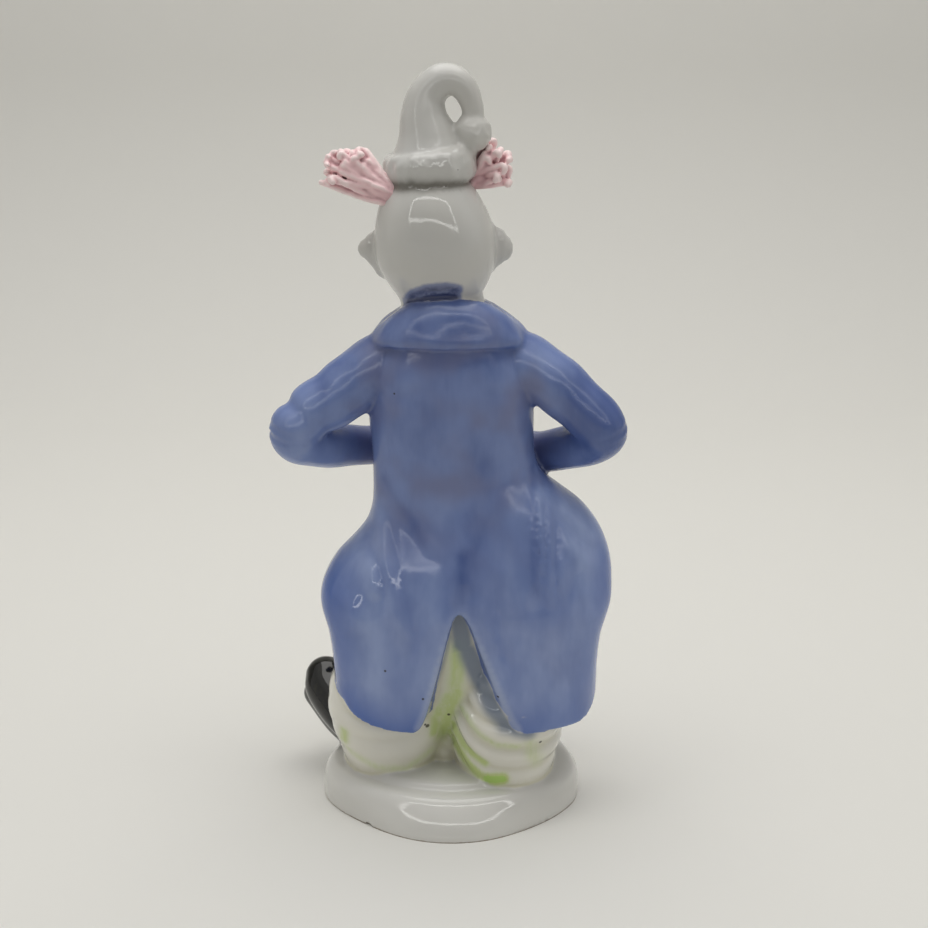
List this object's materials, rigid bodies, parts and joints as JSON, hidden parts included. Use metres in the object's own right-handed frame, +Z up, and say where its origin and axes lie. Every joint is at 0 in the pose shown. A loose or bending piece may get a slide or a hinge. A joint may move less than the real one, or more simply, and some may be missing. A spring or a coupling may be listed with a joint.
{
  "type": "clown figurine",
  "caption": "Glazed porcelain clown in a flared tailcoat and a soft cone hat with a bobble, hands folded, tufts of hair over the ears, standing on a low round base.",
  "frame": {"origin": "middle of the base's underside, on the surface the figurine stands on", "axes": "+Z up through the hat; the clown faces -Y, so +X is the clown's left hand"},
  "size_m": [0.08, 0.055, 0.1699],
  "materials": {
    "glazed_porcelain": "gloss glaze over hand-painted porcelain: blue coat, white head, hat, trousers and base",
    "pink_clay": "dull pink, thinly glazed clay strands"
  },
  "bodies": {
    "root": {"clown_figure": "glazed_porcelain", "hair_tuft_left": "pink_clay", "hair_tuft_right": "pink_clay"}
  },
  "joints": []
}
